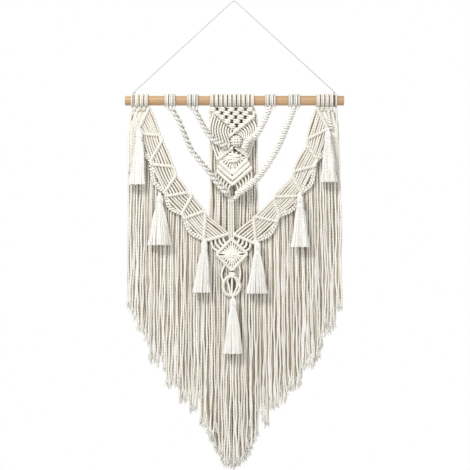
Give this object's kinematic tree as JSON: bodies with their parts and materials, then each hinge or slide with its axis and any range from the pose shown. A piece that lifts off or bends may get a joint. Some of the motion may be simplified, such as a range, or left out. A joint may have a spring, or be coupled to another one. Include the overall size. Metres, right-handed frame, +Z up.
{
  "type": "macrame wall hanging on a wooden rod",
  "caption": "Knotted cotton wall hanging on a wooden rod: swag bands, twisted ropes, a net panel, a diamond medallion, straight fringe in a V and tassels, hung by a string.",
  "frame": {"origin": "the place where the string passes over its nail, at the top of the string", "axes": "+Z up, +X to the viewer's right along the rod, +Y into the wall"},
  "size_m": [0.45, 0.032, 0.964],
  "materials": {
    "wood": "light natural wood, oiled, satin",
    "cotton_cord": "twisted natural cotton cord, matt",
    "tassel_cotton": "combed cotton fibres, matt",
    "string": "thin twisted string, matt"
  },
  "bodies": {
    "root": {"rod": "wood", "hanging_string": "string", "string_knot_left": "string", "string_knot_right": "string", "back_curtain": "cotton_cord", "fringe_left": "cotton_cord", "fringe_right": "cotton_cord", "swag_band_left": "cotton_cord", "swag_band_right": "cotton_cord", "sinnet_outer_left": "cotton_cord", "sinnet_outer_right": "cotton_cord", "sinnet_inner_left": "cotton_cord", "sinnet_inner_right": "cotton_cord", "centre_panel": "cotton_cord", "medallion": "cotton_cord", "tassel_left_upper": "tassel_cotton", "tassel_left_middle": "tassel_cotton", "tassel_left_lower": "tassel_cotton", "tassel_centre": "tassel_cotton", "tassel_right_lower": "tassel_cotton", "tassel_right_middle": "tassel_cotton", "tassel_right_upper": "tassel_cotton"}
  },
  "joints": []
}
